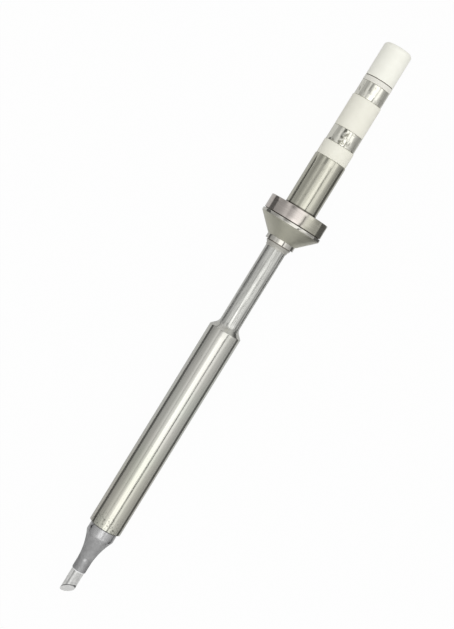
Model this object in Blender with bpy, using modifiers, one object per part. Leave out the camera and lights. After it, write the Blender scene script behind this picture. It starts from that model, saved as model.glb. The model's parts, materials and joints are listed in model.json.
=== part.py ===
"""Soldering iron tip cartridge: bevelled bit, heater barrel, collar, rear sleeve and contact end.

Metres, +Z up. The cartridge lies as it comes to rest, on the lip of its collar and the front edge of
its barrel, with the working end towards -Y. Every piece is modelled on the cartridge's own axis,
which is the Z axis of the empty tip_frame: stations run from 0 at the toe of the bevel to the rear.
"""

import math

import bpy
from mathutils import Vector

# Facets and smoothing
SIDES = 32
CREASE_ANGLE = math.radians(28.0)
ARC_STEPS = 7
CURVE_TURN_POINTS = 16

# Clearances
FIT = 0.00003
FACE_GAP = 0.00003
WIRE_FIT = 0.00005
CUTTER_REACH = 0.002

# Bit
POINT_DIAMETER = 0.00225
TINNED_LENGTH = 0.0046
BEVEL_ANGLE = math.radians(42.0)
BEVEL_AZIMUTH = math.radians(31.0)
PLATING_STEP = 0.00012
PLATED_LENGTH = 0.0015
FLARE_LENGTH = 0.0053
BIT_BODY_REACH = 0.0017
BIT_SOCKET_LENGTH = 0.008
BIT_BORE_DEPTH = 0.0054

# Heater barrel, swaged down to the neck
BARREL_DIAMETER = 0.00582
BARREL_WALL = 0.0004
BARREL_LENGTH = 0.0381
SHOULDER_ANGLE = math.radians(45.0)
SHOULDER_FILLET = 0.0013
NECK_DIAMETER = 0.00365
NECK_WALL = 0.0004
NECK_LENGTH = 0.0142
EDGE_BREAK = 0.00008

# Collar
NOSE_STEP = 0.00012
NOSE_LENGTH = 0.00095
NOSE_ANGLE = math.radians(25.0)
HUB_DIAMETER = 0.00516
HUB_LENGTH = 0.0008
CONE_LENGTH = 0.00276
LIP_DIAMETER = 0.01086
LIP_LENGTH = 0.00048
GROOVE_WIDTH = 0.00016
GROOVE_DEPTH = 0.00016
RIM_DIAMETER = 0.01062
RIM_LENGTH = 0.00242
RIM_CHAMFER = 0.00012

# Rear sleeve
SLEEVE_DIAMETER = 0.0057
SLEEVE_WALL = 0.00035
SLEEVE_REACH = 0.00944
SLEEVE_SEAT_DEPTH = 0.0026

# Contact end: the pieces threaded on the contact stem, front to rear
FRONT_SPACER_DIAMETER = 0.0055
FRONT_SPACER_LENGTH = 0.00268
FRONT_RING_DIAMETER = 0.0053
FRONT_RING_LENGTH = 0.00276
MIDDLE_SPACER_DIAMETER = 0.0053
MIDDLE_SPACER_LENGTH = 0.0057
REAR_RING_DIAMETER = 0.00508
REAR_RING_LENGTH = 0.00276
REAR_SPACER_DIAMETER = 0.0051
REAR_SPACER_LENGTH = 0.00086
CAP_DIAMETER = 0.00505
CAP_LENGTH = 0.00628
CAP_EDGE_RADIUS = 0.0006
CAP_END_WALL = 0.0012
CONTACT_WALL = 0.00042
STEM_TAIL_STEP = 0.0006
STEM_FLANGE_LENGTH = 0.0043
CONTACT_EDGE_BREAK = 0.00006

# Heater inside the barrel
HEATER_SLEEVE_WALL = 0.00035
CORE_NOSE_STEP = 0.00055
CORE_NOSE_SPACE = 0.0011
COIL_WIRE_DIAMETER = 0.00036
COIL_PITCH = 0.0019
COIL_END_MARGIN = 0.0006
TAIL_CLEARANCE = 0.00022
SLEEVE_END_SPACE = 0.0003
TAIL_SPACE = 0.0015
BEAD_DIAMETER = 0.001
BEAD_SPACE = 0.0003

# Leads
SENSOR_WIRE_DIAMETER = 0.0004
LEAD_DIAMETER = 0.0005
LEAD_BORE_CLEARANCE = 0.00009
LEAD_BEND_RADIUS = 0.0003
CRIMP_WALL = 0.0002
CRIMP_LENGTH = 0.0022
CRIMP_GAP = 0.00028
CRIMP_END_SPACE = 0.0003
INSULATOR_SPACE = 0.0003
NECK_END_SPACE = 0.00185

# Radii
POINT_RADIUS = POINT_DIAMETER / 2
PLATED_RADIUS = POINT_RADIUS + PLATING_STEP
BARREL_RADIUS = BARREL_DIAMETER / 2
BARREL_BORE = BARREL_RADIUS - BARREL_WALL
BIT_BODY_RADIUS = BARREL_BORE - FIT
NECK_RADIUS = NECK_DIAMETER / 2
NECK_BORE = NECK_RADIUS - NECK_WALL
NOSE_FRONT_RADIUS = NECK_RADIUS + NOSE_STEP
NOSE_REAR_RADIUS = NOSE_FRONT_RADIUS + NOSE_LENGTH * math.tan(NOSE_ANGLE)
HUB_RADIUS = HUB_DIAMETER / 2
LIP_RADIUS = LIP_DIAMETER / 2
RIM_RADIUS = RIM_DIAMETER / 2
GROOVE_RADIUS = RIM_RADIUS - GROOVE_DEPTH
SLEEVE_RADIUS = SLEEVE_DIAMETER / 2
SLEEVE_BORE = SLEEVE_RADIUS - SLEEVE_WALL
SLEEVE_SEAT_RADIUS = SLEEVE_RADIUS + FIT
CONTACT_DIAMETERS = (
    FRONT_SPACER_DIAMETER,
    FRONT_RING_DIAMETER,
    MIDDLE_SPACER_DIAMETER,
    REAR_RING_DIAMETER,
    REAR_SPACER_DIAMETER,
    CAP_DIAMETER,
)
CONTACT_BORE = min(CONTACT_DIAMETERS) / 2 - CONTACT_WALL
STEM_RADIUS = CONTACT_BORE - FIT
STEM_FLANGE_RADIUS = SLEEVE_BORE - FIT
STEM_TAIL_RADIUS = STEM_RADIUS - STEM_TAIL_STEP
CAP_BORE = STEM_TAIL_RADIUS + FIT
CAP_RADIUS = CAP_DIAMETER / 2
HEATER_SLEEVE_RADIUS = BARREL_BORE - FIT
HEATER_SLEEVE_BORE = HEATER_SLEEVE_RADIUS - HEATER_SLEEVE_WALL
COIL_WIRE_RADIUS = COIL_WIRE_DIAMETER / 2
COIL_RADIUS = HEATER_SLEEVE_BORE - WIRE_FIT - COIL_WIRE_RADIUS
CORE_RADIUS = COIL_RADIUS - COIL_WIRE_RADIUS - WIRE_FIT
CORE_NOSE_RADIUS = CORE_RADIUS - CORE_NOSE_STEP
TAIL_RADIUS = CORE_NOSE_RADIUS + COIL_WIRE_RADIUS + WIRE_FIT
BIT_BORE = TAIL_RADIUS + COIL_WIRE_RADIUS + TAIL_CLEARANCE
BEAD_RADIUS = BEAD_DIAMETER / 2
SENSOR_WIRE_RADIUS = SENSOR_WIRE_DIAMETER / 2
CORE_BORE = SENSOR_WIRE_RADIUS + WIRE_FIT
LEAD_RADIUS = LEAD_DIAMETER / 2
LEAD_BORE = LEAD_RADIUS + LEAD_BORE_CLEARANCE
CRIMP_BORE = LEAD_RADIUS + WIRE_FIT
CRIMP_RADIUS = CRIMP_BORE + CRIMP_WALL
LEAD_OFFSET = CRIMP_RADIUS + CRIMP_GAP / 2
LEAD_INSULATOR_RADIUS = NECK_BORE - FIT

# Stations along the axis
TOE = 0.0
BEVEL_CENTRE = TOE + POINT_RADIUS * math.tan(BEVEL_ANGLE)
TIN_LINE = TOE + TINNED_LENGTH
FLARE_FRONT = TIN_LINE + PLATED_LENGTH
FLARE_REAR = FLARE_FRONT + FLARE_LENGTH
BARREL_FRONT = FLARE_REAR + BIT_BODY_REACH
BIT_REAR = BARREL_FRONT + BIT_SOCKET_LENGTH
BIT_BORE_END = BIT_REAR - BIT_BORE_DEPTH
BARREL_REAR = BARREL_FRONT + BARREL_LENGTH
FILLET_DROP = SHOULDER_FILLET * (1 - math.cos(SHOULDER_ANGLE))
FILLET_RUN = SHOULDER_FILLET * math.sin(SHOULDER_ANGLE)
FILLET_FRONT_RADIUS = NECK_RADIUS + FILLET_DROP
FILLET_FRONT = BARREL_REAR + (BARREL_RADIUS - FILLET_FRONT_RADIUS) / math.tan(SHOULDER_ANGLE)
NECK_FRONT = FILLET_FRONT + FILLET_RUN
BORE_CONE_FRONT = BARREL_REAR - BARREL_WALL * math.tan(SHOULDER_ANGLE / 2)
BORE_CONE_REAR = BORE_CONE_FRONT + (BARREL_BORE - NECK_BORE) / math.tan(SHOULDER_ANGLE)
COLLAR_FRONT = NECK_FRONT + NECK_LENGTH
HUB_FRONT = COLLAR_FRONT + NOSE_LENGTH
HUB_REAR = HUB_FRONT + HUB_LENGTH
LIP_FRONT = HUB_REAR + CONE_LENGTH
LIP_REAR = LIP_FRONT + LIP_LENGTH
RIM_FRONT = LIP_REAR + GROOVE_WIDTH
RIM_REAR = RIM_FRONT + RIM_LENGTH
SLEEVE_FRONT = RIM_REAR - SLEEVE_SEAT_DEPTH
SLEEVE_REAR = RIM_REAR + SLEEVE_REACH
FRONT_SPACER_FRONT = SLEEVE_REAR + FACE_GAP
FRONT_RING_FRONT = FRONT_SPACER_FRONT + FRONT_SPACER_LENGTH + FACE_GAP
MIDDLE_SPACER_FRONT = FRONT_RING_FRONT + FRONT_RING_LENGTH + FACE_GAP
REAR_RING_FRONT = MIDDLE_SPACER_FRONT + MIDDLE_SPACER_LENGTH + FACE_GAP
REAR_SPACER_FRONT = REAR_RING_FRONT + REAR_RING_LENGTH + FACE_GAP
CAP_FRONT = REAR_SPACER_FRONT + REAR_SPACER_LENGTH + FACE_GAP
CAP_REAR = CAP_FRONT + CAP_LENGTH
STEM_FRONT = SLEEVE_REAR - STEM_FLANGE_LENGTH
STEM_TAIL_FRONT = CAP_FRONT - FACE_GAP
STEM_REAR = CAP_REAR - CAP_END_WALL - FACE_GAP
NECK_REAR = STEM_FRONT - NECK_END_SPACE
INSULATOR_FRONT = BORE_CONE_REAR + INSULATOR_SPACE
INSULATOR_REAR = STEM_FRONT - INSULATOR_SPACE
CRIMP_REAR = BORE_CONE_FRONT - CRIMP_END_SPACE
CRIMP_FRONT = CRIMP_REAR - CRIMP_LENGTH
CRIMP_MIDDLE = CRIMP_REAR - CRIMP_LENGTH / 2
CORE_REAR = CRIMP_FRONT - TAIL_SPACE
CORE_STEP = BIT_REAR + CORE_NOSE_SPACE
COIL_FRONT = CORE_STEP + COIL_END_MARGIN
COIL_REAR = CORE_REAR - COIL_END_MARGIN
HEATER_SLEEVE_FRONT = BIT_REAR + SLEEVE_END_SPACE
HEATER_SLEEVE_REAR = CORE_REAR + SLEEVE_END_SPACE
BEAD_STATION = BIT_BORE_END + BEAD_RADIUS + BEAD_SPACE
CORE_FRONT = BEAD_STATION + BEAD_RADIUS + BEAD_SPACE
FRONT_EXIT = FRONT_RING_FRONT + FRONT_RING_LENGTH / 2
REAR_EXIT = REAR_RING_FRONT + REAR_RING_LENGTH / 2

# Attitude at rest: the flats of the lip and of the barrel's front edge lie on the ground
FLAT_SHARE = math.cos(math.pi / SIDES)
FLAT_TURN = math.pi / SIDES
LIP_DROP = LIP_RADIUS * FLAT_SHARE
BARREL_DROP = BARREL_RADIUS * FLAT_SHARE
REST_TILT = math.atan((LIP_DROP - BARREL_DROP) / (LIP_FRONT - BARREL_FRONT - EDGE_BREAK))


def start_scene():
    """Empties the scene and returns the collections for the pieces and the cutters."""
    for leftover in list(bpy.data.objects):
        bpy.data.objects.remove(leftover, do_unlink=True)
    pieces = bpy.data.collections.new("soldering_iron_tip")
    cutters = bpy.data.collections.new("cutters")
    for collection in (pieces, cutters):
        bpy.context.scene.collection.children.link(collection)
    return pieces, cutters


PIECES, CUTTERS = start_scene()
TIP_FRAME = bpy.data.objects.new("tip_frame", None)
PIECES.objects.link(TIP_FRAME)


def make_material(name, colour, roughness, metallic):
    material = bpy.data.materials.new(name)
    material.use_nodes = True
    shader = material.node_tree.nodes["Principled BSDF"]
    shader.inputs["Base Color"].default_value = (*colour, 1.0)
    shader.inputs["Roughness"].default_value = roughness
    shader.inputs["Metallic"].default_value = metallic
    material.diffuse_color = (*colour, 1.0)
    return material


BIT_PLATE = make_material("bit_plate", (0.36, 0.36, 0.36), 0.42, 1.0)
BARREL_STEEL = make_material("barrel_steel", (0.56, 0.55, 0.52), 0.25, 1.0)
COLLAR_STEEL = make_material("collar_steel", (0.50, 0.49, 0.47), 0.34, 1.0)
SLEEVE_STEEL = make_material("sleeve_steel", (0.55, 0.54, 0.51), 0.28, 1.0)
CONTACT_METAL = make_material("contact_metal", (0.66, 0.65, 0.63), 0.16, 1.0)
WHITE_PLASTIC = make_material("white_plastic", (0.86, 0.85, 0.79), 0.46, 0.0)
STEM_PLASTIC = make_material("stem_plastic", (0.80, 0.77, 0.68), 0.50, 0.0)
CERAMIC = make_material("heater_ceramic", (0.88, 0.86, 0.80), 0.55, 0.0)
COIL_ALLOY = make_material("coil_alloy", (0.42, 0.40, 0.37), 0.38, 1.0)
SENSOR_ALLOY = make_material("sensor_alloy", (0.60, 0.55, 0.48), 0.34, 1.0)
COPPER = make_material("lead_copper", (0.80, 0.42, 0.26), 0.28, 1.0)
CRIMP_METAL = make_material("crimp_metal", (0.70, 0.69, 0.66), 0.30, 1.0)


def add_piece(name, data, material, collection=None):
    """Puts a piece on the cartridge's axis."""
    piece = bpy.data.objects.new(name, data)
    (collection or PIECES).objects.link(piece)
    piece.parent = TIP_FRAME
    if material is not None:
        piece.data.materials.append(material)
    return piece


def settle(piece):
    """Turns a piece and its modifiers into one plain mesh, smooth but for its creases."""
    depsgraph = bpy.context.evaluated_depsgraph_get()
    mesh = bpy.data.meshes.new_from_object(piece.evaluated_get(depsgraph))
    mesh.name = piece.name
    piece.modifiers.clear()
    piece.data = mesh
    mesh.shade_smooth()
    mesh.set_sharp_from_angle(angle=CREASE_ANGLE)
    return piece


def turned(name, outline, material):
    """A turned piece. The outline's (radius, station) points run from the front along the outer
    side to the rear, and back along the bore, or end on the axis at both ends."""
    points = [Vector((radius, 0.0, station)) for radius, station in reversed(outline)]
    edges = [(index, index + 1) for index in range(len(points) - 1)]
    if outline[0][0] > 0.0:
        edges.append((len(points) - 1, 0))
    mesh = bpy.data.meshes.new(name)
    mesh.from_pydata(points, edges, [])
    piece = add_piece(name, mesh, material)
    piece.rotation_euler.z = FLAT_TURN
    screw = piece.modifiers.new("turn", "SCREW")
    screw.axis = "Z"
    screw.angle = 2 * math.pi
    screw.steps = SIDES
    screw.render_steps = SIDES
    screw.use_merge_vertices = True
    screw.merge_threshold = 0.000001
    return settle(piece)


def tube_outline(radius, bore, front, rear, edge=0.0):
    """The outline of a tube, with its outer edges broken where edge is given."""
    front_corner = [(radius - edge, front), (radius, front + edge)]
    rear_corner = [(radius, rear - edge), (radius - edge, rear)]
    if not edge:
        front_corner = front_corner[:1]
        rear_corner = rear_corner[:1]
    return [*front_corner, *rear_corner, (bore, rear), (bore, front)]


def round_cutter(name, radius, start, end):
    """A round cutter from one point to another, in the frame of the cartridge's axis."""
    start, end = Vector(start), Vector(end)
    bpy.ops.mesh.primitive_cylinder_add(vertices=SIDES // 2, radius=radius, depth=(end - start).length)
    return place_cutter(name, (start + end) / 2, (end - start).to_track_quat("Z", "Y"))


def place_cutter(name, location, turn):
    cutter = bpy.context.object
    cutter.name = name
    for collection in list(cutter.users_collection):
        collection.objects.unlink(cutter)
    CUTTERS.objects.link(cutter)
    cutter.parent = TIP_FRAME
    cutter.location = location
    cutter.rotation_mode = "QUATERNION"
    cutter.rotation_quaternion = turn
    cutter.hide_render = True
    cutter.display_type = "WIRE"
    return cutter


def cut(piece, cutter):
    """Takes the cutter's volume out of a piece."""
    modifier = piece.modifiers.new(cutter.name, "BOOLEAN")
    modifier.operation = "DIFFERENCE"
    modifier.solver = "EXACT"
    modifier.object = cutter
    bpy.context.view_layer.update()
    return settle(piece)


def wire(name, points, radius, material):
    """A round wire along a row of points, closed at both ends."""
    curve = bpy.data.curves.new(name, "CURVE")
    curve.dimensions = "3D"
    curve.bevel_depth = radius
    curve.bevel_resolution = 2
    curve.use_fill_caps = True
    spline = curve.splines.new("POLY")
    spline.points.add(len(points) - 1)
    for point, place in zip(spline.points, points):
        point.co = (*place, 1.0)
    return add_piece(name, curve, material)


def bend(corner, arrive, leave, radius):
    """Points of a quarter bend at a corner between two directions at right angles."""
    corner, arrive, leave = Vector(corner), Vector(arrive), Vector(leave)
    centre = corner - arrive * radius + leave * radius
    points = []
    for step in range(ARC_STEPS):
        angle = math.pi / 2 * step / (ARC_STEPS - 1)
        points.append(centre - leave * radius * math.cos(angle) + arrive * radius * math.sin(angle))
    return points


def make_bit():
    """The plated copper bit, with its bevel and the blind bore that the heater's nose enters."""
    rise = BIT_BODY_RADIUS - PLATED_RADIUS
    flare_radius = (FLARE_LENGTH ** 2 + rise ** 2) / (2 * rise)
    flare_sweep = math.asin(min(1.0, FLARE_LENGTH / flare_radius))
    flare = []
    for step in range(ARC_STEPS + 1):
        angle = flare_sweep * step / ARC_STEPS
        flare.append((
            PLATED_RADIUS + flare_radius * (1 - math.cos(angle)),
            FLARE_FRONT + flare_radius * math.sin(angle),
        ))
    outline = [
        (0.0, TOE - CUTTER_REACH),
        (POINT_RADIUS, TOE - CUTTER_REACH),
        (POINT_RADIUS, TIN_LINE),
        (PLATED_RADIUS, TIN_LINE + PLATING_STEP),
        *flare,
        (BIT_BODY_RADIUS, BIT_REAR),
        (BIT_BORE, BIT_REAR),
        (BIT_BORE, BIT_BORE_END),
        (0.0, BIT_BORE_END),
    ]
    bit = turned("bit", outline, BIT_PLATE)
    size = 4 * BARREL_DIAMETER
    bpy.ops.mesh.primitive_cube_add(size=size)
    heel = Vector((math.sin(BEVEL_AZIMUTH), -math.cos(BEVEL_AZIMUTH), 0.0))
    outward = (heel * math.sin(BEVEL_ANGLE) - Vector((0, 0, 1)) * math.cos(BEVEL_ANGLE)).normalized()
    centre = Vector((0, 0, BEVEL_CENTRE)) + outward * size / 2
    return cut(bit, place_cutter("bevel_cutter", centre, outward.to_track_quat("Z", "Y")))


def make_barrel():
    """The stainless tube: barrel, shoulder and neck in one swaged piece."""
    fillet = []
    for step in range(ARC_STEPS):
        angle = SHOULDER_ANGLE * (1 - step / (ARC_STEPS - 1))
        fillet.append((
            NECK_RADIUS + SHOULDER_FILLET * (1 - math.cos(angle)),
            NECK_FRONT - SHOULDER_FILLET * math.sin(angle),
        ))
    outline = [
        (BARREL_RADIUS - EDGE_BREAK, BARREL_FRONT),
        (BARREL_RADIUS, BARREL_FRONT + EDGE_BREAK),
        (BARREL_RADIUS, BARREL_REAR),
        *fillet,
        (NECK_RADIUS, NECK_REAR),
        (NECK_BORE, NECK_REAR),
        (NECK_BORE, BORE_CONE_REAR),
        (BARREL_BORE, BORE_CONE_FRONT),
        (BARREL_BORE, BARREL_FRONT),
    ]
    return turned("heater_barrel", outline, BARREL_STEEL)


def make_collar():
    """The turned collar: nose, hub, cone, lip, groove and rim, bored for the neck and the sleeve."""
    bore = NECK_RADIUS + FIT
    cone_front_radius = HUB_RADIUS - EDGE_BREAK
    cone_rear_radius = LIP_RADIUS - EDGE_BREAK
    outline = [
        (NOSE_FRONT_RADIUS, COLLAR_FRONT),
        (NOSE_REAR_RADIUS, HUB_FRONT),
        (HUB_RADIUS, HUB_FRONT),
        (HUB_RADIUS, HUB_REAR - EDGE_BREAK),
        (cone_front_radius, HUB_REAR),
        (cone_rear_radius, LIP_FRONT - EDGE_BREAK),
        (LIP_RADIUS, LIP_FRONT),
        (LIP_RADIUS, LIP_REAR),
        (GROOVE_RADIUS, LIP_REAR),
        (GROOVE_RADIUS, RIM_FRONT),
        (RIM_RADIUS, RIM_FRONT),
        (RIM_RADIUS, RIM_REAR - RIM_CHAMFER),
        (RIM_RADIUS - RIM_CHAMFER, RIM_REAR),
        (SLEEVE_SEAT_RADIUS, RIM_REAR),
        (SLEEVE_SEAT_RADIUS, SLEEVE_FRONT - FACE_GAP),
        (bore, SLEEVE_FRONT - FACE_GAP),
        (bore, COLLAR_FRONT),
    ]
    return turned("collar", outline, COLLAR_STEEL)


def make_contact_end():
    """The white spacers, the two contact rings and the end cap, threaded on the stem."""
    rows = [
        ("front_spacer", FRONT_SPACER_DIAMETER, FRONT_SPACER_FRONT, FRONT_SPACER_LENGTH, WHITE_PLASTIC),
        ("front_contact_ring", FRONT_RING_DIAMETER, FRONT_RING_FRONT, FRONT_RING_LENGTH, CONTACT_METAL),
        ("middle_spacer", MIDDLE_SPACER_DIAMETER, MIDDLE_SPACER_FRONT, MIDDLE_SPACER_LENGTH, WHITE_PLASTIC),
        ("rear_contact_ring", REAR_RING_DIAMETER, REAR_RING_FRONT, REAR_RING_LENGTH, CONTACT_METAL),
        ("rear_spacer", REAR_SPACER_DIAMETER, REAR_SPACER_FRONT, REAR_SPACER_LENGTH, WHITE_PLASTIC),
    ]
    for name, diameter, front, length, material in rows:
        outline = tube_outline(diameter / 2, CONTACT_BORE, front, front + length, CONTACT_EDGE_BREAK)
        turned(name, outline, material)
    make_cap()


def make_cap():
    """The end cap: a cup with a rounded rear edge over the stem's tail."""
    edge = []
    for step in range(ARC_STEPS):
        angle = math.pi / 2 * step / (ARC_STEPS - 1)
        edge.append((
            CAP_RADIUS - CAP_EDGE_RADIUS * (1 - math.cos(angle)),
            CAP_REAR - CAP_EDGE_RADIUS * (1 - math.sin(angle)),
        ))
    outline = [
        (CAP_BORE, CAP_FRONT),
        (CAP_RADIUS - CONTACT_EDGE_BREAK, CAP_FRONT),
        (CAP_RADIUS, CAP_FRONT + CONTACT_EDGE_BREAK),
        *edge,
        (0.0, CAP_REAR),
        (0.0, CAP_REAR - CAP_END_WALL),
        (CAP_BORE, CAP_REAR - CAP_END_WALL),
    ]
    return turned_cup("end_cap", outline, WHITE_PLASTIC)


def turned_cup(name, outline, material):
    """A turned cup: its closed outline is opened at the two points that lie on the axis."""
    on_axis = [index for index, (radius, _) in enumerate(outline) if radius == 0.0]
    start = on_axis[-1]
    return turned(name, outline[start:] + outline[:start], material)


def make_stem():
    """The insulating stem that carries the contact pieces, with the bores of both leads."""
    outline = [
        (0.0, STEM_FRONT),
        (STEM_FLANGE_RADIUS, STEM_FRONT),
        (STEM_FLANGE_RADIUS, SLEEVE_REAR),
        (STEM_RADIUS, SLEEVE_REAR),
        (STEM_RADIUS, STEM_TAIL_FRONT),
        (STEM_TAIL_RADIUS, STEM_TAIL_FRONT),
        (STEM_TAIL_RADIUS, STEM_REAR),
        (0.0, STEM_REAR),
    ]
    stem = turned("contact_stem", outline, STEM_PLASTIC)
    for name, side, exit_station in (("power", 1, REAR_EXIT), ("return", -1, FRONT_EXIT)):
        x = side * LEAD_OFFSET
        start = (x, 0, STEM_FRONT - CUTTER_REACH)
        end = (x, 0, exit_station + LEAD_BORE)
        cut(stem, round_cutter(f"{name}_bore_cutter", LEAD_BORE, start, end))
        outside = (x + side * (STEM_RADIUS + CUTTER_REACH), 0, exit_station)
        cut(stem, round_cutter(f"{name}_exit_cutter", LEAD_BORE, (x, 0, exit_station), outside))
    return stem


def make_lead_insulator():
    """The twin-bore ceramic tube that leads both wires through the neck."""
    outline = [
        (0.0, INSULATOR_FRONT),
        (LEAD_INSULATOR_RADIUS, INSULATOR_FRONT),
        (LEAD_INSULATOR_RADIUS, INSULATOR_REAR),
        (0.0, INSULATOR_REAR),
    ]
    insulator = turned("lead_insulator", outline, CERAMIC)
    for name, side in (("power", 1), ("return", -1)):
        start = (side * LEAD_OFFSET, 0, INSULATOR_FRONT - CUTTER_REACH)
        end = (side * LEAD_OFFSET, 0, INSULATOR_REAR + CUTTER_REACH)
        cut(insulator, round_cutter(f"{name}_passage_cutter", LEAD_BORE, start, end))
    return insulator


def make_heater():
    """The ceramic core, the coil wound on it and the ceramic sleeve over the coil."""
    core = [
        (CORE_NOSE_RADIUS, CORE_FRONT),
        (CORE_NOSE_RADIUS, CORE_STEP),
        (CORE_RADIUS, CORE_STEP),
        (CORE_RADIUS, CORE_REAR),
        (CORE_BORE, CORE_REAR),
        (CORE_BORE, CORE_FRONT),
    ]
    turned("heater_core", core, CERAMIC)
    sleeve = tube_outline(
        HEATER_SLEEVE_RADIUS, HEATER_SLEEVE_BORE, HEATER_SLEEVE_FRONT, HEATER_SLEEVE_REAR)
    turned("heater_sleeve", sleeve, CERAMIC)
    wire("heating_coil", coil_route(), COIL_WIRE_RADIUS, COIL_ALLOY)


def coil_route():
    """The resistance wire: tail beside the core's nose, helix, and tail into the power crimp."""
    length = COIL_REAR - COIL_FRONT
    turns = max(1, round(length / COIL_PITCH))
    route = [
        Vector((BEAD_RADIUS + FIT, 0, BEAD_STATION)),
        *bend((TAIL_RADIUS, 0, BEAD_STATION), (1, 0, 0), (0, 0, 1), COIL_WIRE_DIAMETER),
        Vector((TAIL_RADIUS, 0, BIT_REAR)),
        Vector((COIL_RADIUS, 0, CORE_STEP - COIL_WIRE_DIAMETER)),
    ]
    for step in range(turns * CURVE_TURN_POINTS + 1):
        angle = 2 * math.pi * step / CURVE_TURN_POINTS
        station = COIL_FRONT + length * step / (turns * CURVE_TURN_POINTS)
        route.append(Vector((COIL_RADIUS * math.cos(angle), COIL_RADIUS * math.sin(angle), station)))
    route += [
        Vector((COIL_RADIUS, 0, CORE_REAR + TAIL_SPACE / 4)),
        Vector((LEAD_OFFSET, 0, CRIMP_FRONT - TAIL_SPACE / 4)),
        Vector((LEAD_OFFSET, 0, CRIMP_MIDDLE - FACE_GAP)),
    ]
    return route


def make_sensor():
    """The hot junction ahead of the core, and its wire through the core into the return crimp."""
    bpy.ops.mesh.primitive_uv_sphere_add(segments=16, ring_count=8, radius=BEAD_RADIUS)
    sphere = bpy.context.object
    bead = add_piece("sensor_bead", sphere.data, SENSOR_ALLOY)
    bpy.data.objects.remove(sphere)
    bead.location.z = BEAD_STATION
    bead.data.shade_smooth()
    route = [
        (0, 0, BEAD_STATION + BEAD_RADIUS + FIT),
        (0, 0, CORE_REAR + TAIL_SPACE / 4),
        (-LEAD_OFFSET, 0, CRIMP_FRONT - TAIL_SPACE / 4),
        (-LEAD_OFFSET, 0, CRIMP_MIDDLE - FACE_GAP),
    ]
    wire("sensor_wire", route, SENSOR_WIRE_RADIUS, SENSOR_ALLOY)


def make_leads():
    """The crimps behind the heater, and the copper leads from them to the two contact rings."""
    for name, side, exit_station in (("power", 1, REAR_EXIT), ("return", -1, FRONT_EXIT)):
        x = side * LEAD_OFFSET
        crimp = turned(
            f"{name}_crimp", tube_outline(CRIMP_RADIUS, CRIMP_BORE, CRIMP_FRONT, CRIMP_REAR), CRIMP_METAL)
        crimp.location.x = x
        corner = (x, 0, exit_station)
        route = [
            Vector((x, 0, CRIMP_MIDDLE + FACE_GAP)),
            *bend(corner, (0, 0, 1), (side, 0, 0), LEAD_BEND_RADIUS),
            Vector((side * (CONTACT_BORE * FLAT_SHARE - FIT), 0, exit_station)),
        ]
        wire(f"{name}_lead", route, LEAD_RADIUS, COPPER)


def lay_down():
    """Tilts the cartridge onto its two supports and centres its box over the origin."""
    TIP_FRAME.rotation_euler.x = REST_TILT - math.pi / 2
    bpy.context.view_layer.update()
    depsgraph = bpy.context.evaluated_depsgraph_get()
    places = []
    for piece in PIECES.objects:
        if piece.type == "EMPTY":
            continue
        solid = piece.evaluated_get(depsgraph)
        mesh = solid.to_mesh()
        places += [solid.matrix_world @ vertex.co for vertex in mesh.vertices]
        solid.to_mesh_clear()
    low = Vector([min(place[axis] for place in places) for axis in range(3)])
    high = Vector([max(place[axis] for place in places) for axis in range(3)])
    TIP_FRAME.location = -Vector(((low.x + high.x) / 2, (low.y + high.y) / 2, low.z))


make_bit()
make_barrel()
make_collar()
turned(
    "rear_sleeve",
    tube_outline(SLEEVE_RADIUS, SLEEVE_BORE, SLEEVE_FRONT, SLEEVE_REAR, EDGE_BREAK),
    SLEEVE_STEEL)
make_contact_end()
make_stem()
make_heater()
make_sensor()
make_leads()
make_lead_insulator()
lay_down()
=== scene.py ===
"""Looks of the soldering iron tip: fine forms, finishes, floor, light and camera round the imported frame.

Lengths are in millimetres in the tip's own frame: station 0 is the toe of the bevel, stations grow to
the rear along the axis, X is to the side and Y points down. A piece becomes metres in the row's frame
when it is added.
"""

import json
import math
from collections import namedtuple

import bmesh
import bpy
from mathutils import Matrix, Vector, noise


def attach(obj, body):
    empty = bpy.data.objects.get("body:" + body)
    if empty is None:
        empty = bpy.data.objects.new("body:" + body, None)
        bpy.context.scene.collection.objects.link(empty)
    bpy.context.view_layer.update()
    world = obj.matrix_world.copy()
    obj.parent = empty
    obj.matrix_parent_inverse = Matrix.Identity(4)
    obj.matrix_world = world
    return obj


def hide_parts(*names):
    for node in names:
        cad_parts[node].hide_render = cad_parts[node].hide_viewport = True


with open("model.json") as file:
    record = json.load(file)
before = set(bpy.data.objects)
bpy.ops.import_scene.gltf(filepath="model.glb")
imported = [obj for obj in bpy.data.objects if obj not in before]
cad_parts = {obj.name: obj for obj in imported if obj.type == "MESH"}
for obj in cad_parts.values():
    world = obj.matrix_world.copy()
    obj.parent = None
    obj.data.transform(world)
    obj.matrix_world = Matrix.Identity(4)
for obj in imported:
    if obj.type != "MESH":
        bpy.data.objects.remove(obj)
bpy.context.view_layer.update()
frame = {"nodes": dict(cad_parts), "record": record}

MM = 0.001

# Meshes
SEGMENTS = 160
ROUND_STEPS = 4
RING_PITCH = 1.2
BIT_PITCH = 0.25
FINE_PITCH = 0.6
FINE_EDGE = 0.03
CREASE_ANGLE = math.radians(32.0)
MERGE_DISTANCE = 0.0005
CUT_TOLERANCE = 0.00001
END_MARGIN = 0.01
FRAME_FLATS = 32
INSIDE_SHARE = 0.9998
FLAT_SHARE = math.cos(math.pi / FRAME_FLATS) * INSIDE_SHARE

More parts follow.
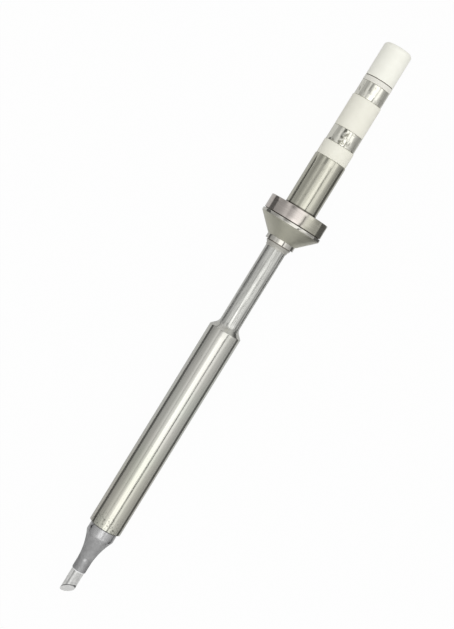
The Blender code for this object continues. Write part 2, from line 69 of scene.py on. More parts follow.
# Bit
TINNED_LENGTH = 4.6
PLATED_LENGTH = 1.5
FLARE_LENGTH = 5.3
FLARE_STEPS = 24
BIT_BORE_DEPTH = 5.4
BIT_EDGE = 0.05
POINT_RADIUS = 1.125
PLATING_STEP = 0.12
BEVEL_ANGLE = math.radians(42.0)
BEVEL_AZIMUTH = math.radians(31.0)
BEVEL_RIM = 0.11
BEVEL_ROUND_STEPS = 4
BLANK_FRONT = -2.0
SOLDER_SKIN = 0.9
SOLDER_SWELL = 0.022
SOLDER_GRAIN = 0.9
SOLDER_MEAN = 0.4
SOLDER_FADE = 0.6

# Bit's wear, and painted shade where it enters the barrel: a span is where a change starts and ends,
# measured from the place that its user names
BIT_JOINT_SHADE = (-0.3, -0.08)
TIN_LINE_WANDER = 0.22
TIN_LIP = (-0.04, 0.02)
PLATING_LINE = (0.14, 0.2)
SHANK_END = (1.5, 0.3)
RUB_WANDER = 3.0
RUB_LINE = (-1.1, 0.1)
FACE_EDGE = (0.01, 0.03)
BURNT_EDGE = (0.07, 0.13)
BURNT_WANDER = 0.1
BEVEL_CORNERS = ((1.05, -0.39, 1.8), (-1.05, 0.39, 0.23))
CORNER_REACH = (0.95, 0.5)
CORNER_FLUX = 0.16

# Spots on the plating: place and grey. The first, pale one is a painted highlight on top of the shank.
PLATING_SPOTS_AND_HIGHLIGHT = (((0.1, -1.2, 6.8), 0.56), ((-2.0, -1.45, 12.3), 0.13), ((2.0, -1.5, 11.4), 0.16))
PLATING_SPOT_REACH = (0.55, 0.15)
PLATING_SPOT_WANDER = 0.25

# Streaks in the solder's coat: X and grey
STREAK_WANDER = 0.24
TIN_STREAKS = (
    (-0.95, 0.84), (-0.68, 0.80), (-0.53, 0.44), (-0.42, 0.46), (-0.28, 0.80),
    (-0.12, 0.80), (0.08, 0.54), (0.45, 0.60), (0.70, 0.62), (0.95, 0.76),
)

# Barrel and neck
BARREL_LENGTH = 38.1
BARREL_WALL = 0.4
NECK_RADIUS = 1.825
SHOULDER_ANGLE = math.radians(45.0)
SHOULDER_FILLET = 1.3
SHOULDER_EDGE = 0.22
TUBE_EDGE = 0.07
LINE_SCALE = 2.4
LINE_STRETCH = 0.016
NECK_FADE = (0.3, 0.4)
SCORCHED_END = (4.0, 0.5)
COOL_START = (7.0, 23.0)

# Collar
NOSE_FRONT_RADIUS = 1.915
NOSE_LENGTH = 0.95
NOSE_FRONT_RUN = 0.32
NOSE_FRONT_RISE = 0.04
NOSE_BEND = 0.5
HUB_RADIUS = 2.58
HUB_LENGTH = 0.8
HUB_GROOVE_WIDTH = 0.13
HUB_GROOVE_DEPTH = 0.42
HUB_OVER_NOSE = 0.3
CONE_LENGTH = 2.76
LIP_RADIUS = 5.43
LIP_LENGTH = 0.49
GROOVE_WIDTH = 0.15
GROOVE_DEPTH = 0.22
RIM_RADIUS = 5.31
TURNED_EDGE = 0.04
LIP_EDGE = 0.06
RIM_EDGE = 0.12
SOCKET_DEPTH = 2.6
NOSE_FADE = 0.04
CONE_FADE = 0.03
GROOVE_FADE = 0.015
# Where the rim turns olive towards +X, as a painted reflection
OLIVE_REFLECTION_SIDE = (0.3, 2.4)
# Painted shade on the sleeve next to the collar's rear: its span from the collar's rear, and its fade
SLEEVE_ENTRY_SHADE = (-1.0, 0.32)
SLEEVE_ENTRY_SHADE_FADE = 0.1

# Contact end
CONTACT_EDGE = 0.06
CAP_EDGE = 0.6
CAP_END_WALL = 1.2
CAP_SEAM_WIDTH = 0.08
CAP_SEAM_DEPTH = 0.3
GATE_RADIUS = 0.45
GATE_DEPTH = 0.07
GATE_EDGE = 0.04
# Painted shade in the cap's front seam: its span from the cap's front, and its fade
CAP_SEAM_SHADE = (-1.0, CAP_SEAM_WIDTH + 0.02)
CAP_SEAM_FADE = 0.01
MARRED_SIDES = ((-0.85, -0.5), (0.2, 0.55))
FRONT_BAND_END = (-8.0, -8.2)

TurnedSize = namedtuple("TurnedSize", "front rear radius front_bore rear_bore")


# The frame's sizes

def tip_frame():
    """The tip's own frame, from the rear mount's axis, the cap's middle and the bit's toe."""
    mount = next(row for row in frame["record"]["mounts"] if row["name"] == "rear_end")
    along = Vector(mount["axis"]).normalized()
    side = Vector((1.0, 0.0, 0.0))
    corners = {tuple(round(c, 7) for c in v.co) for v in frame["nodes"]["end_cap"].data.vertices}
    middle = sum((Vector(corner) for corner in corners), Vector()) / len(corners)
    toe = min((v.co - middle).dot(along) for v in frame["nodes"]["bit"].data.vertices)
    turn = Matrix((side, along.cross(side), along)).transposed().to_4x4()
    return Matrix.Translation(middle + along * toe) @ turn


TIP = tip_frame()
TO_TIP = (TIP @ Matrix.Scale(MM, 4)).inverted()


def turned_size(node):
    """Where a turned CAD node starts and ends, with its radius and the bores at both ends."""
    corners = [TO_TIP @ vertex.co for vertex in frame["nodes"][node].data.vertices]
    front = min(corner.z for corner in corners)
    rear = max(corner.z for corner in corners)
    spans = [(math.hypot(corner.x, corner.y) * FLAT_SHARE, corner.z) for corner in corners]
    front_bore = min(radius for radius, station in spans if station < front + END_MARGIN)
    rear_bore = min(radius for radius, station in spans if station > rear - END_MARGIN)
    return TurnedSize(front, rear, max(radius for radius, _ in spans), front_bore, rear_bore)


BIT = turned_size("bit")
BARREL = turned_size("heater_barrel")
COLLAR = turned_size("collar")
CAP = turned_size("end_cap")

FLARE_FRONT = TINNED_LENGTH + PLATED_LENGTH
FLARE_REAR = FLARE_FRONT + FLARE_LENGTH
NECK_RING = NECK_RADIUS * FLAT_SHARE
BARREL_REAR = BARREL.front + BARREL_LENGTH
NECK_FRONT = BARREL_REAR + (BARREL.radius - NECK_RING) / math.tan(SHOULDER_ANGLE)
HUB_FRONT = COLLAR.front + NOSE_LENGTH
HUB_REAR = HUB_FRONT + HUB_LENGTH
LIP_FRONT = HUB_REAR + CONE_LENGTH
LIP_REAR = LIP_FRONT + LIP_LENGTH
RIM_FRONT = LIP_REAR + GROOVE_WIDTH

BEVEL_HEEL = Vector((math.sin(BEVEL_AZIMUTH), -math.cos(BEVEL_AZIMUTH), 0.0))
BEVEL_OUTWARD = BEVEL_HEEL * math.sin(BEVEL_ANGLE) - Vector((0, 0, 1)) * math.cos(BEVEL_ANGLE)
BEVEL_CENTRE = Vector((0, 0, POINT_RADIUS * math.tan(BEVEL_ANGLE)))


# Meshes

def rounded(outline):
    """The outline's (radius, station, round) corners as plain points, each round as an arc."""
    points = []
    for index, (radius, station, size) in enumerate(outline):
        corner = Vector((radius, station))
        before = Vector(outline[index - 1][:2])
        after = Vector(outline[(index + 1) % len(outline)][:2])
        if size == 0.0:
            points.append(corner)
            continue
        arrive = (corner - before).normalized()
        leave = (after - corner).normalized()
        turn = arrive.angle_signed(leave)
        run = size * abs(math.tan(turn / 2))
        start = corner - arrive * run
        inward = Vector((-arrive.y, arrive.x)) if turn < 0 else Vector((arrive.y, -arrive.x))
        centre = start + inward * size
        for step in range(ROUND_STEPS + 1):
            spoke = start - centre
            spoke.rotate(Matrix.Rotation(-turn * step / ROUND_STEPS, 2))
            points.append(centre + spoke)
    return points


def dense(points, pitch, closed):
    """The same points, with more of them along the runs that are longer than the pitch."""
    result = []
    count = len(points) if closed else len(points) - 1
    for index in range(count):
        start = points[index]
        end = points[(index + 1) % len(points)]
        steps = max(1, round((end - start).length / pitch))
        result += [start.lerp(end, step / steps) for step in range(steps)]
    if not closed:
        result.append(points[-1])
    return result


def spun(outline, pitch=RING_PITCH):
    """A bmesh of the outline turned about the axis, in millimetres in the tip's frame."""
    closed = all(radius > 0.0 for radius, _, _ in outline)
    points = dense(rounded(outline), pitch, closed)
    mesh = bmesh.new()
    corners = [mesh.verts.new((point.x, 0.0, point.y)) for point in points]
    edges = [mesh.edges.new(pair) for pair in zip(corners, corners[1:])]
    if closed:
        edges.append(mesh.edges.new((corners[-1], corners[0])))
    bmesh.ops.spin(
        mesh, geom=corners + edges, axis=(0, 0, 1), cent=(0, 0, 0),
        angle=2 * math.pi, steps=SEGMENTS, use_merge=True)
    bmesh.ops.remove_doubles(mesh, verts=mesh.verts, dist=MERGE_DISTANCE)
    bmesh.ops.recalc_face_normals(mesh, faces=mesh.faces)
    return mesh


def add_piece(name, mesh, finish):
    """Puts a bmesh of the tip's frame into the row's frame, in place of the CAD node it refines."""
    data = bpy.data.meshes.new(name)
    mesh.to_mesh(data)
    mesh.free()
    data.transform(TIP @ Matrix.Scale(MM, 4))
    data.shade_smooth()
    data.set_sharp_from_angle(angle=CREASE_ANGLE)
    data.materials.append(finish)
    piece = bpy.data.objects.new(f"{name}_surface", data)
    bpy.context.scene.collection.objects.link(piece)
    piece.modifiers.new("even_shading", "WEIGHTED_NORMAL").keep_sharp = True
    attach(piece, "root")
    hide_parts(name)
    return piece


def tube(name, finish, edge):
    """A plain turned tube with rounded outer edges, the size of its CAD node."""
    size = turned_size(name)
    outline = [
        (size.radius, size.front, edge),
        (size.radius, size.rear, edge),
        (size.rear_bore, size.rear, 0.0),
        (size.front_bore, size.front, 0.0),
    ]
    return add_piece(name, spun(outline), finish)


# Finishes

def add_node(tree, kind, sockets, **settings):
    """A node with its sockets fed by number or name, from values or other sockets."""
    node = tree.nodes.new(kind)
    for name, value in settings.items():
        setattr(node, name, value)
    for socket, value in sockets.items():
        if isinstance(value, bpy.types.NodeSocket):
            tree.links.new(value, node.inputs[socket])
        else:
            node.inputs[socket].default_value = value
    return node


def fill_ramp(node, stops):
    """Gives a colour ramp its (place, colour) stops, and returns its output."""
    elements = node.color_ramp.elements
    while len(elements) < len(stops):
        elements.new(0.5)
    for element, (where, shade) in zip(elements, stops):
        element.position = where
        element.color = shade
    return node.outputs[0]


class Finish:
    """One material: a Principled shader, and short calls for the nodes that feed it."""

    def __init__(self, name, metallic):
        self.material = bpy.data.materials.new(name)
        self.material.use_nodes = True
        self.tree = self.material.node_tree
        self.shader = self.tree.nodes["Principled BSDF"]
        self.shader.inputs["Metallic"].default_value = metallic

    def add(self, kind, sockets, **settings):
        return add_node(self.tree, kind, sockets, **settings)

    def tip_place(self):
        """The place in the tip's frame, in millimetres."""
        row_place = self.add("ShaderNodeTexCoord", {}).outputs["Object"]
        sockets = {
            "Vector": row_place,
            "Location": TIP.to_translation(),
            "Rotation": TIP.to_euler(),
            "Scale": (MM, MM, MM),
        }
        return self.add("ShaderNodeMapping", sockets, vector_type="TEXTURE").outputs[0]

    def turned_place(self, around):
        """Radius and station as X and Y, with a share of the way around as Z."""
        tip_place = self.tip_place()
        parts = self.add("ShaderNodeSeparateXYZ", {0: tip_place}).outputs
        flat = self.add("ShaderNodeCombineXYZ", {0: parts[0], 1: parts[1]}).outputs[0]
        radius = self.add("ShaderNodeVectorMath", {0: flat}, operation="LENGTH").outputs["Value"]
        bearing = self.maths("MULTIPLY", self.maths("ARCTAN2", parts[1], parts[0]), around)
        return self.add("ShaderNodeCombineXYZ", {0: radius, 1: parts[2], 2: bearing}).outputs[0]

    def side(self):
        return self.add("ShaderNodeSeparateXYZ", {0: self.tip_place()}).outputs[0]

    def station(self):
        return self.add("ShaderNodeSeparateXYZ", {0: self.tip_place()}).outputs[2]

    def distance(self, vector, spot):
        node = self.add("ShaderNodeVectorMath", {0: vector, 1: spot}, operation="DISTANCE")
        return node.outputs["Value"]

    def zone(self, front, rear, fade):
        """1 between two stations and 0 outside them, with soft ends."""
        entered = self.between(self.station(), front - fade, front + fade)
        left = self.between(self.station(), rear - fade, rear + fade)
        return self.maths("SUBTRACT", entered, left)

    def maths(self, operation, first, second=0.0):
        return self.add("ShaderNodeMath", {0: first, 1: second}, operation=operation).outputs[0]

    def stretched(self, vector, shares):
        return self.add("ShaderNodeVectorMath", {0: vector, 1: shares}, operation="MULTIPLY").outputs[0]

    def noise(self, vector, scale, detail=2.0, rough=0.5):
        sockets = {"Vector": vector, "Scale": scale, "Detail": detail, "Roughness": rough}
        return self.add("ShaderNodeTexNoise", sockets).outputs[0]

    def grades(self, factor, stops):
        """A colour ramp with (place, grey or colour) stops."""
        shades = [colour(*shade) if isinstance(shade, tuple) else grey(shade) for _, shade in stops]
        places = [where for where, _ in stops]
        return fill_ramp(self.add("ShaderNodeValToRGB", {0: factor}), list(zip(places, shades)))

    def between(self, value, low, high):
        """0 at or below the low value, 1 at or above the high one, smooth between them."""
        sockets = {"Value": value, "From Min": low, "From Max": high}
        return self.add("ShaderNodeMapRange", sockets, interpolation_type="SMOOTHSTEP").outputs[0]

    def mixed(self, factor, first, second, blend="MIX"):
        node = self.add("ShaderNodeMix", {0: factor, 6: first, 7: second}, data_type="RGBA")
        node.blend_type = blend
        return node.outputs[2]

    def shaded(self, base, shade):
        """The base multiplied by a shade."""
        return self.mixed(1.0, base, shade, "MULTIPLY")

    def bump(self, height, distance, under=None):
        sockets = {"Height": height, "Distance": distance * MM, "Strength": 1.0}
        if under is not None:
            sockets["Normal"] = under
        return self.add("ShaderNodeBump", sockets).outputs[0]

    def feed(self, **sockets):
        """Feeds the shader's own sockets, such as base_color."""
        for name, value in sockets.items():
            self.tree.links.new(value, self.shader.inputs[name.replace("_", " ").title()])
        return self.material


def colour(red, green, blue):
    return (red, green, blue, 1.0)


def grey(level):
    return colour(level, level, level)


def shifted(start, span):
    """A span of stations, measured from another place."""
    return tuple(start + station for station in span)


def drawn_lines(finish, tip_place):
    """Fine lines along the tube, and how far each one stands out."""
    lines = finish.noise(finish.stretched(tip_place, (1.0, 1.0, LINE_STRETCH)), LINE_SCALE, 4.0, 0.68)
    return lines, finish.grades(lines, [(0.36, 0.0), (0.64, 1.0)])


def barrel_steel():
    """Drawn stainless tube: straw tinted at its hot end, darker and streaked where it was swaged down."""
    finish = Finish("barrel_steel", 1.0)
    tip_place = finish.tip_place()
    neck = finish.between(finish.station(), BARREL_REAR + NECK_FADE[0], NECK_FRONT + NECK_FADE[1])
    lines, strong = drawn_lines(finish, tip_place)
    grain = finish.noise(finish.stretched(tip_place, (1.0, 1.0, 0.4)), 7.0, 3.0, 0.7)
    dashes = finish.noise(finish.stretched(tip_place, (1.0, 1.0, 0.11)), 3.2, 3.0, 0.65)

    swaged = finish.mixed(strong, colour(0.41, 0.41, 0.385), colour(0.81, 0.81, 0.77))
    swaged = finish.shaded(swaged, finish.grades(dashes, [(0.36, 0.84), (0.52, 1.0)]))
    base = finish.mixed(neck, barrel_tint(finish, tip_place, strong), swaged)
    base = finish.shaded(base, barrel_specks(finish, tip_place, grain))

    rough = finish.grades(grain, [(0.3, 0.075), (0.7, 0.135)])
    rough = finish.mixed(neck, rough, grey(0.2))
    depth = finish.maths("ADD", finish.maths("MULTIPLY", neck, 2.6), 1.0)
    normal = finish.bump(finish.maths("MULTIPLY", lines, depth), 0.012)
    normal = finish.bump(grain, 0.0013, normal)
    normal = finish.bump(finish.maths("MULTIPLY", dashes, neck), 0.014, normal)
    return finish.feed(base_color=base, roughness=rough, normal=normal)


def barrel_tint(finish, tip_place, strong):
    """The drawn steel's colour: straw where it runs hot, with a slow rosy cloud."""
    straw = finish.mixed(strong, colour(0.54, 0.53, 0.475), colour(0.60, 0.588, 0.528))
    steel = finish.mixed(strong, colour(0.57, 0.57, 0.53), colour(0.64, 0.64, 0.60))
    cool = finish.between(finish.station(), *shifted(BARREL.front, COOL_START))
    cloud = finish.noise(finish.stretched(tip_place, (1.0, 1.0, 0.5)), 0.22, 2.0)
    rosy = finish.grades(cloud, [(0.38, (0.98, 1.0, 0.97)), (0.6, (1.0, 0.985, 0.98))])
    return finish.shaded(finish.mixed(cool, straw, steel), rosy)


def barrel_specks(finish, tip_place, grain):
    """Fine pits, which give way to burnt specks at the hot end."""
    pits = finish.grades(grain, [(0.30, 0.72), (0.40, 1.0)])
    specks = finish.grades(finish.noise(tip_place, 3.4, 3.0, 0.6), [(0.40, 0.5), (0.47, 1.0)])
    scorched = finish.between(finish.station(), *shifted(BARREL.front, SCORCHED_END))
    return finish.mixed(scorched, pits, specks)


def sleeve_steel():
    """Tube brushed along its length, with a painted shade line where it enters the collar."""
    finish = Finish("sleeve_steel", 1.0)
    tip_place = finish.tip_place()
    lines, strong = drawn_lines(finish, tip_place)
    grain = finish.noise(finish.stretched(tip_place, (1.0, 1.0, 0.3)), 6.0, 3.0, 0.7)
    base = finish.mixed(strong, colour(0.49, 0.48, 0.405), colour(0.60, 0.59, 0.505))
    entry_shade = finish.zone(*shifted(COLLAR.rear, SLEEVE_ENTRY_SHADE), SLEEVE_ENTRY_SHADE_FADE)
    # painted shade: the sleeve is darkened where it meets the collar
    base = finish.mixed(entry_shade, base, colour(0.14, 0.13, 0.11))
    base = finish.shaded(base, finish.grades(grain, [(0.32, 0.75), (0.42, 1.0)]))
    rough = finish.grades(grain, [(0.3, 0.08), (0.7, 0.14)])
    normal = finish.bump(lines, 0.012)
    normal = finish.bump(grain, 0.0018, normal)
    return finish.feed(base_color=base, roughness=rough, normal=normal)


def collar_steel():
    """Turned steel: satin nose and cone, bright hub and lip, a rosy rim that turns olive on its +X side as
    a painted reflection, and painted shade in both grooves.
    """
    finish = Finish("collar_steel", 1.0)
    tip_place = finish.tip_place()
    station = finish.station()
    rings = finish.noise(finish.turned_place(0.12), 8.0, 3.0, 0.6)
    cloud = finish.noise(tip_place, 0.9, 3.0)
    nose = finish.between(station, HUB_FRONT, HUB_FRONT - NOSE_FADE)
    cone = finish.zone(HUB_REAR, LIP_FRONT, CONE_FADE)
    rim = finish.between(station, LIP_REAR, RIM_FRONT)
    groove_shade = groove_shade_zones(finish)

    base = collar_tint(finish, rings, cloud, cone, rim)
    base = finish.mixed(nose, base, colour(0.47, 0.46, 0.415))
    # painted shade: both grooves are darkened to near black, in uneven patches
    groove_shade_tone = finish.noise(tip_place, 0.55, 2.0)
    groove_shade_tone = finish.grades(groove_shade_tone, [(0.4, (0.10, 0.085, 0.07)), (0.6, (0.30, 0.27, 0.23))])
    base = finish.mixed(groove_shade, base, groove_shade_tone)

    rough = finish.mixed(rim, finish.mixed(cone, grey(0.075), grey(0.4)), grey(0.15))
    rough = finish.mixed(nose, rough, grey(0.42))
    rough = finish.shaded(rough, finish.grades(cloud, [(0.3, 0.85), (0.7, 1.15)]))
    rough = finish.mixed(groove_shade, rough, grey(0.6))
    metal = finish.mixed(nose, grey(1.0), grey(0.4))
    normal = finish.bump(rings, 0.0009)
    normal = finish.bump(cloud, 0.003, normal)
    finish.shader.inputs["Coat Weight"].default_value = 0.3
    finish.shader.inputs["Coat Roughness"].default_value = 0.12
    return finish.feed(base_color=base, roughness=rough, metallic=metal, normal=normal)


def collar_tint(finish, rings, cloud, cone, rim):
    """Bright hub and lip, a satin cone, and a rim that turns from rosy to olive towards +X, the olive a
    painted reflection.
    """
    shade = finish.grades(rings, [(0.3, 0.0), (0.7, 1.0)])
    bright = finish.mixed(shade, colour(0.53, 0.515, 0.47), colour(0.61, 0.595, 0.545))
    satin = finish.mixed(cloud, colour(0.53, 0.52, 0.43), colour(0.59, 0.58, 0.485))
    rosy = finish.mixed(shade, colour(0.52, 0.475, 0.445), colour(0.60, 0.555, 0.515))
    olive = finish.mixed(shade, colour(0.485, 0.47, 0.395), colour(0.555, 0.54, 0.46))
    # painted reflection: the rim turns olive on its +X side
    rim_tint_and_reflection = finish.mixed(finish.between(finish.side(), *OLIVE_REFLECTION_SIDE), rosy, olive)
    return finish.mixed(rim, finish.mixed(cone, bright, satin), rim_tint_and_reflection)


def groove_shade_zones(finish):
    """1 in the groove behind the lip and in the one before the hub, where shade is painted."""
    lip_groove = finish.zone(LIP_REAR, RIM_FRONT, GROOVE_FADE)
    hub_groove = finish.zone(HUB_FRONT - HUB_GROOVE_WIDTH, HUB_FRONT, GROOVE_FADE)
    return finish.maths("MAXIMUM", lip_groove, hub_groove)


def plated_bit():
    """Matt grey plating that is worn bright near the barrel, and the tinned end up to the tin line."""
    finish = Finish("plated_bit", 1.0)
    tip_place = finish.tip_place()
    station = finish.station()
    mottle = finish.noise(tip_place, 1.5, 4.0, 0.6)
    scratches = finish.noise(finish.stretched(tip_place, (1.0, 1.0, 0.3)), 4.0, 4.0, 0.7)
    plating, plating_rough, sheen = grey_plating(finish, tip_place, mottle, scratches)

    wander = finish.maths("MULTIPLY", finish.noise(tip_place, 1.3, 2.0), TIN_LINE_WANDER)
    edge = finish.maths("ADD", station, wander)
    plated = finish.between(edge, *shifted(TINNED_LENGTH, PLATING_LINE))
    lip = finish.between(edge, *shifted(TINNED_LENGTH, TIN_LIP))
    tinned = finish.mixed(lip, tin(finish, tip_place), grey(0.85))
    # painted shade: a near-black band on the bit where it enters the barrel
    joint_shade = finish.between(station, *shifted(BARREL.front, BIT_JOINT_SHADE))
    base = finish.mixed(joint_shade, finish.mixed(plated, tinned, plating), grey(0.06))
    rough = finish.mixed(plated, grey(0.46), plating_rough)
    metal = finish.mixed(plated, grey(0.35), sheen)
    normal = finish.bump(finish.noise(tip_place, 8.0, 3.0), 0.004)
    normal = finish.bump(scratches, 0.012, normal)
    normal = finish.bump(mottle, 0.02, normal)
    return finish.feed(base_color=base, roughness=rough, metallic=metal, normal=normal)


def grey_plating(finish, tip_place, mottle, scratches):
    """The plating's colour, roughness and metallic share, worn bright behind a ragged line."""
    spots = finish.grades(mottle, [(0.32, 0.0), (0.68, 1.0)])
    ragged = finish.noise(finish.stretched(tip_place, (1.0, 1.0, 0.45)), 1.3, 3.0, 0.6)
    ragged = finish.maths("ADD", finish.station(), finish.maths("MULTIPLY", ragged, RUB_WANDER))
    worn = finish.between(ragged, *shifted(FLARE_REAR + RUB_WANDER / 2, RUB_LINE))
    shank = finish.between(finish.station(), *shifted(FLARE_FRONT, SHANK_END))

    base = finish.mixed(spots, grey(0.29), grey(0.38))
    base = finish.mixed(worn, base, finish.mixed(spots, grey(0.42), grey(0.52)))
    wander = finish.maths("MULTIPLY", spots, PLATING_SPOT_WANDER)
    # the first, pale spot is a painted highlight on top of the shank
    for spot, shade in PLATING_SPOTS_AND_HIGHLIGHT:
        away = finish.maths("ADD", finish.distance(tip_place, spot), wander)
        base = finish.mixed(finish.between(away, *PLATING_SPOT_REACH), base, grey(shade))

    rubbed = finish.grades(scratches, [(0.42, 0.42), (0.56, 0.17)])
    rough = finish.mixed(worn, finish.mixed(shank, grey(0.62), grey(0.48)), rubbed)
    sheen = finish.mixed(worn, finish.mixed(shank, grey(0.3), grey(0.75)), grey(0.9))
    return base, rough, sheen


def tin(finish, tip_place):
    """The tinned end's colour: a pale face, burnt flux on the wall next to it, and streaks behind."""
    face, burnt = bevel_parts(finish, tip_place)
    base = finish.mixed(face, tin_streaks(finish, tip_place), colour(0.73, 0.73, 0.715))
    return finish.mixed(burnt, base, grey(0.14))


def tin_streaks(finish, tip_place):
    """The solder's coat: pale, with lengthwise streaks that lie where the coat is thick or thin."""
    wander = finish.noise(finish.stretched(tip_place, (1.0, 1.0, 0.3)), 1.6, 2.0)
    side = finish.maths("ADD", finish.side(), finish.maths("MULTIPLY", wander, STREAK_WANDER))
    across = finish.between(side, *shifted(STREAK_WANDER / 2, (-POINT_RADIUS, POINT_RADIUS)))
    stops = []
    for middle, level in TIN_STREAKS:
        share = (middle / POINT_RADIUS + 1) / 2
        smooth_share = share * share * (3 - 2 * share)
        stops.append((smooth_share, level))
    patches = finish.grades(finish.noise(tip_place, 2.2, 3.0, 0.6), [(0.38, 0.84), (0.6, 1.0)])
    streaks = finish.shaded(finish.grades(across, stops), patches)
    return finish.shaded(streaks, colour(1.0, 1.0, 0.975))


def bevel_parts(finish, tip_place):
    """1 on the working face, and 1 on the side wall next to it, where burnt flux gathers."""
    depth = finish.add("ShaderNodeVectorMath", {0: tip_place, 1: BEVEL_OUTWARD}, operation="DOT_PRODUCT")
    behind = finish.maths("SUBTRACT", BEVEL_CENTRE.dot(BEVEL_OUTWARD), depth.outputs["Value"])
    nearest = finish.maths("MINIMUM", *(finish.distance(tip_place, corner) for corner in BEVEL_CORNERS))
    gathered = finish.maths("MULTIPLY", finish.between(nearest, *CORNER_REACH), CORNER_FLUX)
    wander = finish.maths("MULTIPLY", finish.noise(tip_place, 2.4, 2.0), BURNT_WANDER)
    wander = finish.maths("ADD", wander, gathered)
    starts = finish.between(behind, *FACE_EDGE)
    ends = finish.between(finish.maths("SUBTRACT", behind, wander), *BURNT_EDGE)
    return finish.maths("SUBTRACT", 1.0, starts), finish.maths("SUBTRACT", starts, ends)


def contact_metal():
    """Bright plating with dull scuffs along the way the contacts slide."""
    finish = Finish("contact_plating", 1.0)
    tip_place = finish.tip_place()
    scuffs = finish.noise(finish.stretched(tip_place, (1.0, 1.0, 0.35)), 2.6, 4.0, 0.62)
    patches = finish.noise(finish.stretched(tip_place, (1.0, 1.0, 0.6)), 1.1, 3.0, 0.6)
    waves = finish.noise(tip_place, 0.75, 2.0)
    rubbed = finish.grades(scuffs, [(0.57, 0.0), (0.67, 1.0)])
    dull = finish.grades(patches, [(0.63, 0.0), (0.68, 1.0)])
    base = finish.mixed(rubbed, colour(0.76, 0.75, 0.675), colour(0.56, 0.55, 0.48))
    base = finish.mixed(dull, base, colour(0.42, 0.41, 0.355))
    base = finish.mixed(marred_parts(finish, tip_place), base, colour(0.27, 0.265, 0.22))
    rough = finish.mixed(rubbed, grey(0.07), grey(0.2))
    rough = finish.mixed(dull, rough, grey(0.34))
    normal = finish.bump(scuffs, 0.008)
    normal = finish.bump(waves, 0.05, normal)
    return finish.feed(base_color=base, roughness=rough, normal=normal)


def marred_parts(finish, tip_place):
    """1 in the dark scuffs near the middle of the front band."""
    marred = finish.grades(finish.noise(tip_place, 2.1, 3.0, 0.65), [(0.47, 0.0), (0.53, 1.0)])
    side = finish.side()
    starts, ends = (finish.between(side, *span) for span in MARRED_SIDES)
    reached = finish.maths("SUBTRACT", starts, ends)
    front_band = finish.between(finish.station(), *shifted(CAP.front, FRONT_BAND_END))
    return finish.maths("MULTIPLY", marred, finish.maths("MULTIPLY", reached, front_band))


def moulded_plastic(name, pale, dark, rough_low, rough_high, seam=None):
    """Smooth moulded plastic with a faint mottle and a fine skin, and painted shade in the seam's stations.
    """
    finish = Finish(name, 0.0)
    tip_place = finish.tip_place()
    mottle = finish.noise(tip_place, 0.8, 3.0)
    skin = finish.noise(tip_place, 18.0, 2.0)
    base = finish.mixed(finish.grades(mottle, [(0.3, 0.0), (0.7, 1.0)]), dark, pale)
    # painted shade: the seam's stations are darkened
    if seam:
        base = finish.mixed(finish.zone(*seam, CAP_SEAM_FADE), base, colour(0.28, 0.25, 0.22))
    rough = finish.grades(skin, [(0.3, rough_low), (0.7, rough_high)])
    normal = finish.bump(skin, 0.0015)
    return finish.feed(base_color=base, roughness=rough, normal=normal)


def fired_ceramic(name, pale, dark):
    """Dull white ceramic with a faint mottle and fine pores."""
    finish = Finish(name, 0.0)
    tip_place = finish.tip_place()
    mottle = finish.noise(tip_place, 1.1, 3.0)
    pores = finish.noise(tip_place, 14.0, 2.0)
    base = finish.mixed(finish.grades(mottle, [(0.35, 0.0), (0.65, 1.0)]), dark, pale)
    base = finish.shaded(base, finish.grades(pores, [(0.3, 0.8), (0.38, 1.0)]))
    rough = finish.grades(pores, [(0.3, 0.7), (0.7, 0.52)])
    return finish.feed(base_color=base, roughness=rough, normal=finish.bump(pores, 0.003))


def wire_metal(name, bright, dull, rough_low, rough_high):
    """Drawn or pressed metal whose surface is dulled in patches."""
    finish = Finish(name, 1.0)
    tip_place = finish.tip_place()
    patches = finish.noise(tip_place, 1.6, 3.0)
    lines = finish.noise(finish.stretched(tip_place, (1.0, 1.0, 0.15)), 9.0, 3.0, 0.6)
    dulled = finish.grades(patches, [(0.4, 0.0), (0.62, 1.0)])
    base = finish.mixed(dulled, bright, dull)
    rough = finish.mixed(dulled, grey(rough_low), grey(rough_high))
    return finish.feed(base_color=base, roughness=rough, normal=finish.bump(lines, 0.002))


BIT_FINISH = plated_bit()
BARREL_FINISH = barrel_steel()
COLLAR_FINISH = collar_steel()
SLEEVE_FINISH = sleeve_steel()
CONTACT_FINISH = contact_metal()
IVORY_FINISH = moulded_plastic(
    "ivory_plastic", colour(0.88, 0.865, 0.765), colour(0.85, 0.835, 0.73), 0.38, 0.5)
RING_FINISH = moulded_plastic(
    "ring_plastic", colour(0.82, 0.805, 0.735), colour(0.79, 0.775, 0.705), 0.4, 0.52)
CAP_FINISH = moulded_plastic(
    "cap_plastic", colour(0.945, 0.94, 0.855), colour(0.915, 0.91, 0.82), 0.34, 0.46,
    shifted(CAP.front, CAP_SEAM_SHADE))

STEM_FINISH = moulded_plastic(
    "stem_plastic", colour(0.62, 0.57, 0.44), colour(0.56, 0.51, 0.39), 0.42, 0.55)
CERAMIC_FINISH = fired_ceramic("heater_ceramic", colour(0.80, 0.79, 0.75), colour(0.70, 0.69, 0.64))
COIL_FINISH = wire_metal("coil_alloy", colour(0.34, 0.32, 0.30), colour(0.16, 0.15, 0.15), 0.32, 0.55)
SENSOR_FINISH = wire_metal("sensor_alloy", colour(0.50, 0.48, 0.44), colour(0.33, 0.31, 0.28), 0.28, 0.45)
COPPER_FINISH = wire_metal("lead_copper", colour(0.72, 0.38, 0.22), colour(0.46, 0.22, 0.13), 0.22, 0.42)
CRIMP_FINISH = wire_metal("crimp_metal", colour(0.66, 0.64, 0.60), colour(0.50, 0.48, 0.44), 0.24, 0.4)

